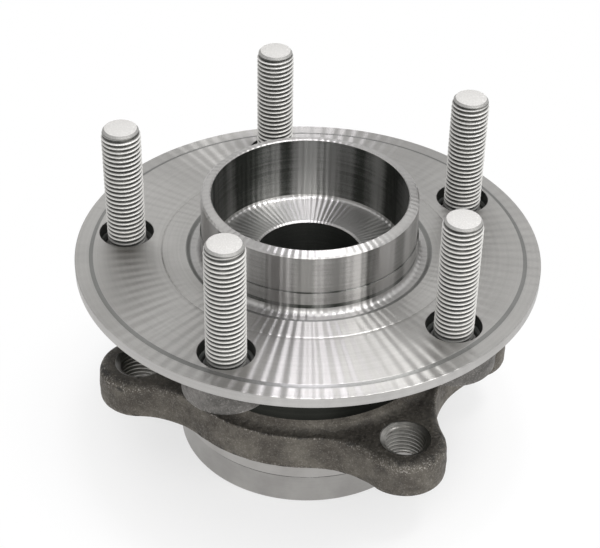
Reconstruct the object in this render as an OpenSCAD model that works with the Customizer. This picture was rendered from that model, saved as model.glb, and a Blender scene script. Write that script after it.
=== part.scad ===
// Hub bearing unit for a driven wheel. A flanged, splined hub turns on two rows
// of balls inside a forged outer ring that is bolted to the knuckle by four ears.
// The origin is the centre of the wheel-mounting face and +Z points to the wheel.
// The ears make a rectangle along X and Y. Depths run down from the wheel face.

/* [Wheel flange] */
// Outer diameter of the flange
flange_d = 143.6; // [141:0.2:150]
// Thickness of the flange at its rim
flange_rim_t = 3.2; // [2.6:0.1:4]
// Depth of the machined face at the back of the flange, by the seal
flange_root_t = 12.2; // [11.6:0.1:12.6]
// Outer diameter of the raised ring that carries the brake disc
disc_face_d = 131.4; // [129:0.2:134]
// Step down from the raised ring to the outer band
disc_face_step = 0.4; // [0.2:0.1:0.8]
// Radial width of that step, which is turned as a soft slope
disc_face_slope = 1.6; // [0.8:0.1:2.4]
// Edge break around the rim
rim_break = 0.4; // [0.2:0.1:0.8]
// Bevel where the rim meets the forged back
back_bevel = 0.8; // [0.4:0.1:1.4]
// Diameter where the machined back face ends
back_face_d = 88; // [84:1:90]
// Depth of the forged back just outside the machined face
back_root_depth = 10.8; // [10:0.1:11.5]
// Radial width of the step between the two
back_step_w = 2.5; // [1.5:0.1:3.5]

/* [Pilots and axle nut cup] */
// Diameter of the pilot that centres the wheel
wheel_pilot_d = 66.3; // [65:0.1:66.5]
// Diameter of the pilot that centres the brake disc
disc_pilot_d = 67.2; // [66.8:0.1:68]
// Height of the brake disc pilot
disc_pilot_h = 6.8; // [5:0.1:9]
// Height of the cup's inner edge
pilot_h = 20.1; // [16:0.1:24]
// Fall of the cup's rim from its inner to its outer edge
rim_fall = 0.84; // [0.4:0.02:1.2]
// Inner diameter of the cup
cup_d = 60; // [58:0.1:61]
// Radius at the foot of the cup's wall
cup_foot_r = 1; // [1:0.1:4]
// Depth of the axle nut's seat
nut_seat_depth = 2; // [1:0.1:4]
// Outer diameter of the turned relief around the pilot
relief_d = 74.4; // [73.6:0.1:76]
// Depth of that relief
relief_depth = 0.5; // [0.3:0.1:0.8]
// Fillet between the relief and the pilot
relief_fillet = 2.1; // [1:0.1:2.4]

/* [Axle spline] */
// Number of spline grooves
spline_count = 27; // [24:1:30]
// Diameter over the tops of the hub's teeth
spline_minor_d = 26.8; // [26:0.1:27.2]
// Diameter at the bottom of the grooves
spline_major_d = 28.6; // [28:0.1:29.2]
// Share of the tooth pitch that a groove takes at its bottom
groove_share_bottom = 0.36; // [0.3:0.01:0.42]
// Share of the tooth pitch that a groove takes at its mouth
groove_share_mouth = 0.56; // [0.5:0.01:0.62]
// Mouth diameter of the lead-in bevel at the nut seat
lead_in_d = 33.8; // [31:0.1:35]
// Size of that bevel
lead_in_bevel = 0.5; // [0.3:0.1:1]
// Depth where the plain bore ahead of the teeth ends
plain_bore_depth = 24; // [12:0.5:26]
// Mouth diameter of the bevel at the inboard end
end_mouth_d = 32; // [30:0.1:33]

/* [Wheel studs] */
// Number of studs
stud_count = 5; // [4:1:6]
// Pitch circle diameter of the studs
stud_pcd = 114.3; // [112:0.1:116]
// Angle of the first stud from +X
stud_turn = 52.5; // [0:0.5:72]
// Thread diameter
stud_d = 12; // [11:0.1:12.6]
// Height of the stud's tip above the wheel face
stud_reach = 37.7; // [30:0.1:45]
// Diameter of the stud's tip
stud_tip_d = 9.6; // [8:0.1:10.4]
// Length of the bevel at the tip
stud_tip_bevel = 1.3; // [0.8:0.1:2]
// Diameter of the knurled collar that is pressed into the flange
knurl_d = 14.2; // [13.4:0.1:15]
// Depth of the collar's end nearest the wheel
knurl_top_depth = 5.2; // [4.8:0.1:7]
// Diameter of the stud's head
head_d = 17; // [16:0.1:20]
// Thickness of the head
head_t = 3.2; // [2.4:0.1:4]
// Bevel around the head
head_bevel = 0.6; // [0.3:0.1:1]
// Diameter of the counterbore around the stud in the wheel face
recess_d = 16.7; // [15.6:0.1:18]
// Depth of that counterbore
recess_depth = 4; // [2:0.1:4.4]
// Diameter of the forged boss behind each stud
boss_d = 26; // [22:0.2:28]
// Depth of the boss, where the stud's head seats
boss_depth = 13; // [12.6:0.1:14]

/* [Outer ring] */
// Depth of the ring's outboard end
ring_top_depth = 15; // [14.6:0.1:15.4]
// Depth of the ring's inboard end
ring_end_depth = 69.8; // [69.4:0.1:72]
// Diameter of the neck between the flange and the ears
neck_d = 83; // [82:0.2:85]
// Bevel around both ends of the ring
ring_bevel = 0.8; // [0.4:0.1:1.2]
// Depth of the face that is bolted to the knuckle
knuckle_face_depth = 51; // [50:0.1:52]
// Thickness of the ears and of the web between them
ear_t = 12.3; // [10:0.1:13]
// Distance between the ear holes along X
ear_span_x = 90; // [88:0.5:93]
// Distance between the ear holes along Y
ear_span_y = 60; // [58:0.5:64]
// Radius of the ears about their holes
ear_r = 13.1; // [12.4:0.1:14]
// Diameter of the web between the ears
web_d = 92.6; // [88:0.2:96]
// Radius of the blend from the web to an ear, across the wide gap
web_blend_r = 27; // [14:0.5:30]
// Least distance from the axis to the edge across the narrow gap
waist_x = 46.9; // [45:0.1:48]
// Radius of the fillet between the neck and the web
neck_fillet = 3.5; // [2:0.1:4.5]
// Diameter of the threaded ear holes at the thread's crests
ear_hole_d = 12.4; // [11:0.1:13]
// Mouth diameter of the bevel at each end of an ear hole
ear_mouth_d = 15.3; // [14:0.1:16]
// Diameter of the ground band that locates the knuckle
spigot_d = 83.4; // [82.6:0.1:85]
// Length of that band
spigot_band = 7.8; // [5:0.1:10]
// Diameter of the turned tail beyond the band
tail_d = 82.4; // [82:0.1:82.6]
// Radius around the tail's end
tail_end_r = 1; // [0.5:0.1:1.4]

/* [Balls and raceways] */
// Ball diameter
ball_d = 12.7; // [12.5:0.01:12.9]
// Balls in each row
ball_count = 13; // [11:1:13]
// Diameter of the circle through the ball centres
ball_pitch_d = 62; // [61.6:0.1:62.4]
// Contact angle
contact_angle = 37; // [32:1:40]
// Play between a ball and each raceway along the contact line
race_play = 0.08; // [0.06:0.01:0.12]
// How much larger a groove's radius is than a ball's
groove_extra = 0.25; // [0.2:0.01:0.3]
// Height of the inner shoulders above the bottom of their grooves
inner_shoulder_h = 4.46; // [4.2:0.02:4.6]
// Height of the outer ring's middle land below the bottom of its grooves
outer_shoulder_h = 4.26; // [4:0.02:4.5]
// Height of the low shoulders that the balls snap over
snap_h = 0.4; // [0.3:0.02:0.5]

/* [Inner ring and formed collar] */
// How far the pressed inner ring's outboard end lies beyond the middle between the rows
inner_ring_offset = 0.3; // [-0.3:0.1:0.9]
// How far its inboard end lies inside the outer ring's end
inner_ring_inset = 3.3; // [3:0.1:3.6]
// Diameter of the seat that it is pressed on
inner_seat_d = 41; // [39:0.1:42]
// Bevel at the inner ring's bore
inner_bore_bevel = 0.9; // [0.8:0.1:1.4]
// Fillet at the hub's shoulder, inside that bevel
seat_fillet = 0.6; // [0.3:0.1:0.7]
// Bevel at the inner ring's outer inboard edge
inner_edge_bevel = 0.5; // [0.3:0.1:0.7]
// Diameter of the hub's end, formed out over the inner ring
collar_d = 51; // [48:0.2:54]
// Thickness of the formed collar
collar_t = 2.3; // [1.6:0.1:2.6]
// Rounding of the collar
collar_r = 1.6; // [0.8:0.1:1.6]

/* [Ball cages] */
// Play between a cage and the inner shoulder
cage_play_inner = 0.7; // [0.5:0.05:0.8]
// Play between a cage and the outer land
cage_play_outer = 0.5; // [0.4:0.05:0.7]
// Play between a ball and its pocket
pocket_play = 0.15; // [0.12:0.01:0.2]
// Thickness of the cage behind a pocket
cage_back_t = 1.4; // [1.1:0.1:1.5]
// How far the cage's fingers reach past the ball centres
finger_reach = 4.2; // [3.6:0.1:4.6]
// Play between the outboard cage and the end of the seal's seat
cage_end_play_1 = 1; // [0.8:0.1:1.5]
// Play between the inboard cage and the end of the seal's seat
cage_end_play_2 = 1.1; // [0.8:0.1:1.5]

/* [Seals] */
// Diameter of the seal seats in the outer ring
seal_seat_d = 77; // [76.4:0.1:77.6]
// Depth of the outboard seat, from the ring's end
seat_1_w = 4.6; // [4.4:0.1:4.8]
// Depth of the inboard seat, from the ring's end
seat_2_w = 8.3; // [8.1:0.1:8.6]
// Diameter of the land that the outboard lips run on
seal_land_d = 60; // [59.6:0.1:60.4]
// How far that land reaches past the seal
land_reach = 0.6; // [0.3:0.1:0.7]
// Radius at the land's foot
land_fillet = 1.5; // [1:0.1:2]
// Sheet thickness of the seal cases and the slinger
sheet_t = 0.7; // [0.5:0.05:0.8]
// Play between the cases and the end of their seats
case_play = 0.3; // [0.2:0.05:0.5]
// Inner diameter of the cases' radial walls
case_inner_d = 67; // [66:0.2:68]
// Thickness of the rubber on the cases
rubber_t = 0.7; // [0.5:0.05:0.8]
// Play at the seal lips
lip_play = 0.1; // [0.08:0.01:0.14]
// Thickness of the lips at their tips
lip_tip_t = 0.4; // [0.3:0.05:0.5]
// Thickness of the lips at their roots
lip_root_t = 0.9; // [0.7:0.05:1.1]
// How far the outboard face lip's tip stands inside the rubber's edge
face_lip_inset = 0.8; // [0.5:0.1:1.2]
// Thickness of the magnet ring that the speed sensor reads
encoder_t = 1; // [0.8:0.1:1.2]
// Inner diameter of that ring
encoder_inner_d = 62; // [61:0.5:64]
// Play between the slinger's rim and the inboard case
slinger_play = 0.4; // [0.3:0.05:0.6]

/* [Hidden] */
$fn = 96;
steel = "#b3b0a9";
coated = "#c6c5bd";
forged = "#57514b";
race_steel = "#9ea0a0";
nylon = "#3b4a3c";
rubber = "#232323";
sheet = "#8f8a7c";

overcut = 1;
blend_bite = 0.005;
flange_r = flange_d / 2;
disc_face_r = disc_face_d / 2;
wheel_pilot_r = wheel_pilot_d / 2;
disc_pilot_r = disc_pilot_d / 2;
cup_r = cup_d / 2;
relief_r = relief_d / 2;
back_face_r = back_face_d / 2;
spline_minor_r = spline_minor_d / 2;
spline_major_r = spline_major_d / 2;
lead_in_r = lead_in_d / 2;
plain_bore_r = lead_in_r - lead_in_bevel;
end_mouth_r = end_mouth_d / 2;
seal_land_r = seal_land_d / 2;
seal_seat_r = seal_seat_d / 2;
neck_r = neck_d / 2;
spigot_r = spigot_d / 2;
tail_r = tail_d / 2;
collar_edge_r = collar_d / 2;
inner_seat_r = inner_seat_d / 2;
ear_top_depth = knuckle_face_depth - ear_t;

ball_r = ball_d / 2;
pitch_r = ball_pitch_d / 2;
pocket_r = ball_r + pocket_play;
cage_back = pocket_r + cage_back_t;
row_1_depth = ring_top_depth + seat_1_w + cage_end_play_1 + cage_back;
row_2_depth = ring_end_depth - seat_2_w - cage_end_play_2 - cage_back;
inner_ring_top_depth = (row_1_depth + row_2_depth) / 2 + inner_ring_offset;
inner_ring_end_depth = ring_end_depth - inner_ring_inset;
hub_end_depth = inner_ring_end_depth + collar_t;
groove_r = ball_r + groove_extra;
groove_shift = groove_extra - race_play;
shift_r = groove_shift * cos(contact_angle);
shift_z = groove_shift * sin(contact_angle);
inner_groove_r = pitch_r + shift_r - groove_r;
outer_groove_r = pitch_r - shift_r + groove_r;
inner_shoulder_r = inner_groove_r + inner_shoulder_h;
inner_low_r = inner_groove_r + snap_h;
outer_land_r = outer_groove_r - outer_shoulder_h;
entry_r = outer_groove_r - snap_h;
cage_inner_r = inner_shoulder_r + cage_play_inner;
cage_outer_r = outer_land_r - cage_play_outer;

case_inner_r = case_inner_d / 2;
case_bore_r = seal_seat_r - sheet_t;
case_1_end = ring_top_depth + seat_1_w - case_play;
land_end_depth = case_1_end + land_reach;
case_2_top = ring_end_depth - seat_2_w + case_play;
case_2_w = seat_2_w - 3 * case_play - rubber_t - encoder_t;
rubber_r = case_bore_r - case_play;
rubber_inner_r = case_inner_r - 2 * rubber_t;
sleeve_r = inner_shoulder_r + sheet_t;
slinger_rim_r = case_bore_r - slinger_play;
slinger_face = inner_ring_end_depth - sheet_t;
sleeve_top = case_2_top - rubber_t;

function two_digits(n) = n < 10 ? str("0", n) : str(n);
function stud_name(i) = str("wheel_stud_", i);
function ball_name(row, i) = str(row == 1 ? "outboard" : "inboard", "_ball_", two_digits(i));
function stud_angle(i) = stud_turn + (i - 1) * 360 / stud_count;
function ball_angle(row, i) = (i - 1 + (row - 1) / 2) * 360 / ball_count;
// A circle that touches two others from outside is centred this far along the
// line between their centres, and this far off it
function along(gap, r1, r2) = (gap * gap + r1 * r1 - r2 * r2) / (2 * gap);
function aside(gap, r1, r2) = sqrt(r1 * r1 - pow(along(gap, r1, r2), 2));

// The corner piece between two square sides and the quarter circle inside them.
// Added, it is a fillet, and taken away, it rounds an edge.
module corner(at, r, side_x, side_y) {
    difference() {
        translate([at[0] + min(0, side_x * r), at[1] + min(0, side_y * r)]) square(r);
        translate([at[0] + side_x * r, at[1] + side_y * r]) circle(r);
    }
}

// Groove sections. The inner races carry towards the ends of the unit and the
// outer race towards its middle, so the two rows spread outwards.
module inner_groove(depth, end_side) {
    translate([pitch_r + shift_r, end_side * shift_z - depth]) circle(groove_r);
}

module outer_groove(depth, end_side) {
    translate([pitch_r - shift_r, -end_side * shift_z - depth]) circle(groove_r);
}

// Half section of the hub: cup, flange, seal land, raceway, seat and collar
module hub_profile() {
    difference() {
        union() {
            polygon([
                [spline_minor_r, -plain_bore_depth - plain_bore_r + spline_minor_r],
                [plain_bore_r, -plain_bore_depth],
                [plain_bore_r, -nut_seat_depth - lead_in_bevel],
                [lead_in_r, -nut_seat_depth],
                [cup_r, -nut_seat_depth],
                [cup_r, pilot_h],
                [wheel_pilot_r, pilot_h - rim_fall],
                [wheel_pilot_r, disc_pilot_h],
                [disc_pilot_r, disc_pilot_h],
                [disc_pilot_r, -relief_depth],
                [relief_r, -relief_depth],
                [relief_r, 0],
                [disc_face_r, 0],
                [disc_face_r + disc_face_slope, -disc_face_step],
                [flange_r - rim_break, -disc_face_step],
                [flange_r, -disc_face_step - rim_break],
                [flange_r, -disc_face_step - flange_rim_t],
                [flange_r - back_bevel, -disc_face_step - flange_rim_t - back_bevel],
                [back_face_r + back_step_w, -back_root_depth],
                [back_face_r, -flange_root_t],
                [seal_land_r, -flange_root_t],
                [seal_land_r, -land_end_depth],
                [inner_shoulder_r, -land_end_depth - seal_land_r + inner_shoulder_r],
                [inner_shoulder_r, -row_1_depth],
                [inner_low_r, -row_1_depth],
                [inner_low_r, -inner_ring_top_depth],
                [inner_seat_r, -inner_ring_top_depth],
                [inner_seat_r, -inner_ring_end_depth],
                [collar_edge_r, -inner_ring_end_depth],
                [collar_edge_r, -hub_end_depth],
                [end_mouth_r, -hub_end_depth],
                [spline_minor_r, -hub_end_depth + end_mouth_r - spline_minor_r],
            ]);
            corner([cup_r, -nut_seat_depth], cup_foot_r, -1, 1);
            corner([disc_pilot_r, -relief_depth], relief_fillet, 1, 1);
            corner([seal_land_r, -flange_root_t], land_fillet, 1, -1);
            corner([inner_seat_r, -inner_ring_top_depth], seat_fillet, 1, -1);
        }
        inner_groove(row_1_depth, 1);
        corner([collar_edge_r, -hub_end_depth], collar_r, -1, 1);
    }
}

// One spline groove's section, from inside the bore out past its bottom
module groove_section() {
    half_pitch = 180 / spline_count;
    bottom_half = spline_major_r * sin(half_pitch * groove_share_bottom);
    mouth_half = spline_minor_r * sin(half_pitch * groove_share_mouth);
    depth = spline_major_r - spline_minor_r;
    polygon([
        [spline_minor_r - depth, 2 * mouth_half - bottom_half],
        [spline_major_r + depth, 2 * bottom_half - mouth_half],
        [spline_major_r + depth, mouth_half - 2 * bottom_half],
        [spline_minor_r - depth, bottom_half - 2 * mouth_half],
    ]);
}

module spline_grooves() {
    translate([0, 0, -hub_end_depth - overcut])
        linear_extrude(hub_end_depth + 2 * overcut)
            intersection() {
                circle(spline_major_r);
                for (i = [0 : spline_count - 1])
                    rotate(i * 360 / spline_count) groove_section();
            }
}

module at_stud(i) {
    rotate(stud_angle(i)) translate([stud_pcd / 2, 0, 0]) children();
}

module hub() {
    color(steel)
        difference() {
            union() {
                rotate_extrude() hub_profile();
                for (i = [1 : stud_count])
                    at_stud(i)
                        translate([0, 0, -boss_depth])
                            cylinder(h = boss_depth - flange_rim_t, d = boss_d);
            }
            spline_grooves();
            for (i = [1 : stud_count])
                at_stud(i) {
                    translate([0, 0, -boss_depth - overcut])
                        cylinder(h = boss_depth + overcut, d = knurl_d);
                    translate([0, 0, -recess_depth])
                        cylinder(h = recess_depth + overcut, d = recess_d);
                }
        }
}

// Pressed inner ring that carries the inboard row
module inner_ring() {
    color(race_steel)
        rotate_extrude()
            difference() {
                polygon([
                    [inner_seat_r, -inner_ring_top_depth - inner_bore_bevel],
                    [inner_seat_r + inner_bore_bevel, -inner_ring_top_depth],
                    [inner_low_r, -inner_ring_top_depth],
                    [inner_low_r, -row_2_depth],
                    [inner_shoulder_r, -row_2_depth],
                    [inner_shoulder_r, -inner_ring_end_depth + inner_edge_bevel],
                    [inner_shoulder_r - inner_edge_bevel, -inner_ring_end_depth],
                    [inner_seat_r, -inner_ring_end_depth],
                ]);
                inner_groove(row_2_depth, -1);
            }
}

// Half section of the outer ring without its ears
module outer_ring_profile() {
    difference() {
        polygon([
            [seal_seat_r + ring_bevel, -ring_top_depth],
            [neck_r - ring_bevel, -ring_top_depth],
            [neck_r, -ring_top_depth - ring_bevel],
            [neck_r, -knuckle_face_depth],
            [spigot_r, -knuckle_face_depth],
            [spigot_r, -knuckle_face_depth - spigot_band],
            [tail_r, -knuckle_face_depth - spigot_band],
            [tail_r, -ring_end_depth],
            [seal_seat_r + ring_bevel, -ring_end_depth],
            [seal_seat_r, -ring_end_depth + ring_bevel],
            [seal_seat_r, -ring_end_depth + seat_2_w],
            [entry_r, -ring_end_depth + seat_2_w],
            [entry_r, -row_2_depth],
            [outer_land_r, -row_2_depth],
            [outer_land_r, -row_1_depth],
            [entry_r, -row_1_depth],
            [entry_r, -ring_top_depth - seat_1_w],
            [seal_seat_r, -ring_top_depth - seat_1_w],
            [seal_seat_r, -ring_top_depth - ring_bevel],
        ]);
        outer_groove(row_1_depth, 1);
        outer_groove(row_2_depth, -1);
        corner([tail_r, -ring_end_depth], tail_end_r, -1, 1);
    }
}

// Outline of the web and its four ears. Three circles meet at each blend, and
// the wedge between their centres is filled up to the outer one. The outer one
// bites a hair into the other two, so that the arcs cross and don't just touch.
module web_outline() {
    web_r = web_d / 2;
    reach = norm([ear_span_x, ear_span_y]) / 2;
    ear_angle = atan2(ear_span_y, ear_span_x);
    blend_along = along(reach, web_r + web_blend_r, ear_r + web_blend_r);
    blend_aside = aside(reach, web_r + web_blend_r, ear_r + web_blend_r);
    blend = [
        blend_along * cos(ear_angle) - blend_aside * sin(ear_angle),
        blend_along * sin(ear_angle) + blend_aside * cos(ear_angle),
    ];
    ear = [ear_span_x / 2, ear_span_y / 2];
    waist_centre = (ear[1] * ear[1] + ear[0] * ear[0] - pow(ear_r - waist_x, 2)) / (2 * (ear[0] + ear_r - waist_x));
    waist_r = waist_centre - waist_x;
    difference() {
        union() {
            circle(web_r);
            for (side_x = [-1, 1], side_y = [-1, 1])
                translate([side_x * ear[0], side_y * ear[1]]) circle(ear_r);
            for (side_x = [-1, 1], side_y = [-1, 1])
                polygon([
                    [0, 0],
                    [side_x * ear[0], side_y * ear[1]],
                    [side_x * blend[0], side_y * blend[1]],
                ]);
            for (side_x = [-1, 1])
                polygon([
                    [0, 0],
                    [side_x * ear[0], ear[1]],
                    [side_x * waist_centre, 0],
                    [side_x * ear[0], -ear[1]],
                ]);
        }
        for (side_x = [-1, 1], side_y = [-1, 1])
            translate([side_x * blend[0], side_y * blend[1]]) circle(web_blend_r + blend_bite);
        for (side_x = [-1, 1])
            translate([side_x * waist_centre, 0]) circle(waist_r + blend_bite);
        circle(neck_r - overcut);
    }
}

module ear_hole() {
    bevel = (ear_mouth_d - ear_hole_d) / 2;
    translate([0, 0, -knuckle_face_depth - overcut])
        cylinder(h = ear_t + 2 * overcut, d = ear_hole_d);
    translate([0, 0, -knuckle_face_depth - overcut])
        cylinder(h = bevel + overcut, d1 = ear_mouth_d + 2 * overcut, d2 = ear_hole_d);
    translate([0, 0, -ear_top_depth - bevel])
        cylinder(h = bevel + overcut, d1 = ear_hole_d, d2 = ear_mouth_d + 2 * overcut);
}

module outer_ring() {
    color(forged)
        difference() {
            union() {
                rotate_extrude() outer_ring_profile();
                rotate_extrude() corner([neck_r, -ear_top_depth], neck_fillet, 1, 1);
                translate([0, 0, -knuckle_face_depth]) linear_extrude(ear_t) web_outline();
            }
            for (side_x = [-1, 1], side_y = [-1, 1])
                translate([side_x * ear_span_x / 2, side_y * ear_span_y / 2, 0]) ear_hole();
        }
}

module at_ball(row, i) {
    rotate(ball_angle(row, i))
        translate([pitch_r, 0, row == 1 ? -row_1_depth : -row_2_depth]) children();
}

module ball(row, i) {
    color(race_steel) at_ball(row, i) sphere(ball_r);
}

// Snap cage: a band with one open spherical pocket for each ball. Its solid
// back lies on the end side of the row and its fingers on the middle side.
module cage(row) {
    depth = row == 1 ? row_1_depth : row_2_depth;
    high = row == 1 ? cage_back : finger_reach;
    low = row == 1 ? finger_reach : cage_back;
    color(nylon)
        difference() {
            rotate_extrude()
                translate([cage_inner_r, -depth - low])
                    square([cage_outer_r - cage_inner_r, high + low]);
            for (i = [1 : ball_count])
                at_ball(row, i) sphere(pocket_r);
        }
}

// Pressed steel case of the outboard seal
module outboard_seal_case() {
    color(sheet)
        rotate_extrude()
            polygon([
                [case_bore_r, -ring_top_depth - case_play],
                [seal_seat_r, -ring_top_depth - case_play],
                [seal_seat_r, -case_1_end],
                [case_inner_r, -case_1_end],
                [case_inner_r, -case_1_end + sheet_t],
                [case_bore_r, -case_1_end + sheet_t],
            ]);
}

// Rubber of the outboard seal: one face lip against the flange and two lips
// against the land
module outboard_seal_lip() {
    floor_z = -case_1_end + sheet_t;
    top_z = floor_z + rubber_t;
    tip_z = -flange_root_t - lip_play;
    tip_r = rubber_r - face_lip_inset;
    lip_r = seal_land_r + lip_play;
    color(rubber)
        rotate_extrude()
            polygon([
                [rubber_inner_r, -case_1_end],
                [case_inner_r, -case_1_end],
                [case_inner_r, floor_z],
                [rubber_r, floor_z],
                [rubber_r, top_z],
                [tip_r - lip_tip_t, top_z],
                [tip_r, tip_z],
                [tip_r - lip_tip_t, tip_z],
                [tip_r - lip_tip_t - lip_root_t, top_z],
                [rubber_inner_r + lip_root_t, top_z],
                [lip_r, top_z + 2 * lip_root_t],
                [lip_r, top_z + 2 * lip_root_t - lip_tip_t],
                [rubber_inner_r, floor_z],
                [lip_r, -case_1_end + lip_root_t],
                [lip_r, -case_1_end + lip_root_t - lip_tip_t],
            ]);
}

// Pressed steel case of the inboard cassette seal
module inboard_seal_case() {
    color(sheet)
        rotate_extrude()
            polygon([
                [case_inner_r, -case_2_top],
                [seal_seat_r, -case_2_top],
                [seal_seat_r, -case_2_top - case_2_w],
                [case_bore_r, -case_2_top - case_2_w],
                [case_bore_r, -case_2_top - sheet_t],
                [case_inner_r, -case_2_top - sheet_t],
            ]);
}

// Rubber of the cassette seal: two lips on the slinger's sleeve and one on its
// flange
module inboard_seal_lip() {
    floor_z = -case_2_top - sheet_t;
    low_z = floor_z - rubber_t;
    lip_r = sleeve_r + lip_play;
    tip_z = -slinger_face + lip_play;
    tip_r = slinger_rim_r - lip_root_t;
    color(rubber)
        rotate_extrude()
            polygon([
                [rubber_inner_r, -case_2_top],
                [lip_r, -case_2_top - lip_root_t + lip_tip_t],
                [lip_r, -case_2_top - lip_root_t],
                [rubber_inner_r, floor_z],
                [lip_r, low_z - lip_root_t + lip_tip_t],
                [lip_r, low_z - lip_root_t],
                [rubber_inner_r + lip_root_t, low_z],
                [tip_r - lip_tip_t - lip_root_t, low_z],
                [tip_r - lip_tip_t, tip_z],
                [tip_r, tip_z],
                [tip_r - lip_tip_t, low_z],
                [rubber_r, low_z],
                [rubber_r, floor_z],
                [case_inner_r, floor_z],
                [case_inner_r, -case_2_top],
            ]);
}

// Slinger pressed on the inner ring, with the magnet ring on its flange
module inboard_slinger() {
    color(sheet)
        rotate_extrude()
            polygon([
                [inner_shoulder_r, -sleeve_top],
                [sleeve_r, -sleeve_top],
                [sleeve_r, -slinger_face],
                [slinger_rim_r, -slinger_face],
                [slinger_rim_r, -slinger_face - sheet_t],
                [inner_shoulder_r, -slinger_face - sheet_t],
            ]);
}

module encoder_ring() {
    color(rubber)
        translate([0, 0, -slinger_face - sheet_t - encoder_t])
            rotate_extrude()
                translate([encoder_inner_d / 2, 0])
                    square([slinger_rim_r - encoder_inner_d / 2, encoder_t]);
}

// Stud turned about its own axis: head, knurled collar, shank and bevelled tip
module wheel_stud(i) {
    color(coated)
        at_stud(i)
            rotate_extrude()
                polygon([
                    [0, -boss_depth - head_t],
                    [head_d / 2 - head_bevel, -boss_depth - head_t],
                    [head_d / 2, -boss_depth - head_t + head_bevel],
                    [head_d / 2, -boss_depth],
                    [knurl_d / 2, -boss_depth],
                    [knurl_d / 2, -knurl_top_depth],
                    [stud_d / 2, -knurl_top_depth + (knurl_d - stud_d) / 2],
                    [stud_d / 2, stud_reach - stud_tip_bevel],
                    [stud_tip_d / 2, stud_reach],
                    [0, stud_reach],
                ]);
}

hub();
inner_ring();
outer_ring();
cage(1);  // outboard_cage
cage(2);  // inboard_cage
for (row = [1, 2], i = [1 : ball_count])
    ball(row, i);
for (i = [1 : stud_count])
    wheel_stud(i);
outboard_seal_case();
outboard_seal_lip();
inboard_seal_case();
inboard_seal_lip();
inboard_slinger();
encoder_ring();
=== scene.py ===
import math
import random

import bmesh
import bpy
from mathutils import Matrix, Vector, noise
from mathutils.geometry import delaunay_2d_cdt


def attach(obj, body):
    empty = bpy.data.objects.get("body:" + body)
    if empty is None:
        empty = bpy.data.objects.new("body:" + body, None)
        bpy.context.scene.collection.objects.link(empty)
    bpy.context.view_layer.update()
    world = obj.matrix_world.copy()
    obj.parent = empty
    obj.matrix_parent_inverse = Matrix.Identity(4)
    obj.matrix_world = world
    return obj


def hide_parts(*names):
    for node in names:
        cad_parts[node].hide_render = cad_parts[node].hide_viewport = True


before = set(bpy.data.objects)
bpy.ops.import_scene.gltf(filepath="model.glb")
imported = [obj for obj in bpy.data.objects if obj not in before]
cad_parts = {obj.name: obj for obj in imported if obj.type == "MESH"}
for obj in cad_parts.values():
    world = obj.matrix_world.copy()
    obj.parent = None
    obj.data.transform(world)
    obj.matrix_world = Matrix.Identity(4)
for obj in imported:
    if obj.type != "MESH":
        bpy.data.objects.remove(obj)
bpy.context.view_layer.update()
mm = 0.001

# The hub is one steel forging: the flange for the wheel, the pilot cup, the
# splined bore and the outboard raceway. Its front, rim and bore are turned bright
# on a lathe, and the flange's back keeps the forged skin around five bosses.
flange_r = 71.8
rim_bottom = -3.6
face_edge_r = 66
band_r = 67.5
band_drop = 0.4
feed_line_r = 45.45
feed_line_half = 0.5
feed_line_depth = 0.27
cup_r = 30
cup_floor = -2
cup_rim = 20.1
cup_foot = 1.3
cup_foot_r = 1
floor_ring_r = 24
pilot_r = 33.15
pilot_top = 19.26
disc_pilot_r = 33.6
disc_pilot_top = 6.8
disc_pilot_foot = 2.7
fillet_top = 1.4
fillet_r = 1.7
relief_floor = -0.5
relief_r = 36.6
face_start_r = 38.1
ringed_r = 47.2
recess_r = 8.35
recess_floor = -4
stud_circle_r = 57.15
stud_start = 52.5
stud_count = 5
knurl_hole_r = 7.1
boss_r = 13
boss_face = -13
back_r = 71
back_rim = -4.4
back_root = -10.8
back_root_r = 46.5
back_step = 2.5
boss_foot_r = 1.6
machined_back = -12.2
machined_back_r = 43.6
tooth_count = 27
tooth_tip_r = 13.4
tooth_root_r = 14.3
bore_lip_r = 16.9
plain_bore_r = 16.4
plain_bore_end = -24
collar_mouth_r = 16
seal_land_r = 30
seal_land_end = -19.9
pitch_r = 31
rows_middle = -40.5
groove_r = 6.6
inner_groove_r = pitch_r + 0.136
inner_groove_gap = 12.102
low_shoulder_r = 28.996
low_shoulder_end = -22.154
high_shoulder_r = 24.936
high_shoulder_gap = 9.7
ring_seat_r = 20.5
ring_seat_top = -40.8
collar_face = -66.5
collar_r = 25.5
collar_flat_r = 19
hub_end = -68.8
round_count = 480
stem_count = 160
recess_count = 72


def circle(r, count, at=(0, 0), turn=0.0):
    return [
        (at[0] + r * math.cos(turn + math.tau * i / count), at[1] + r * math.sin(turn + math.tau * i / count))
        for i in range(count)
    ]


def loop(bm, points, height):
    """A closed loop of vertices, at one height or at a height for each point."""
    heights = height if isinstance(height, list) else [height] * len(points)
    return [bm.verts.new((x, y, z)) for (x, y), z in zip(points, heights)]


def skin(bm, first, second, finish=0):
    """Quads between two closed loops of as many vertices."""
    for i in range(len(first)):
        corners = [first[i - 1], first[i], second[i], second[i - 1]]
        corners = [v for n, v in enumerate(corners) if v is not corners[n - 1]]
        if len(corners) > 2:
            bm.faces.new(corners).material_index = finish


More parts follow.
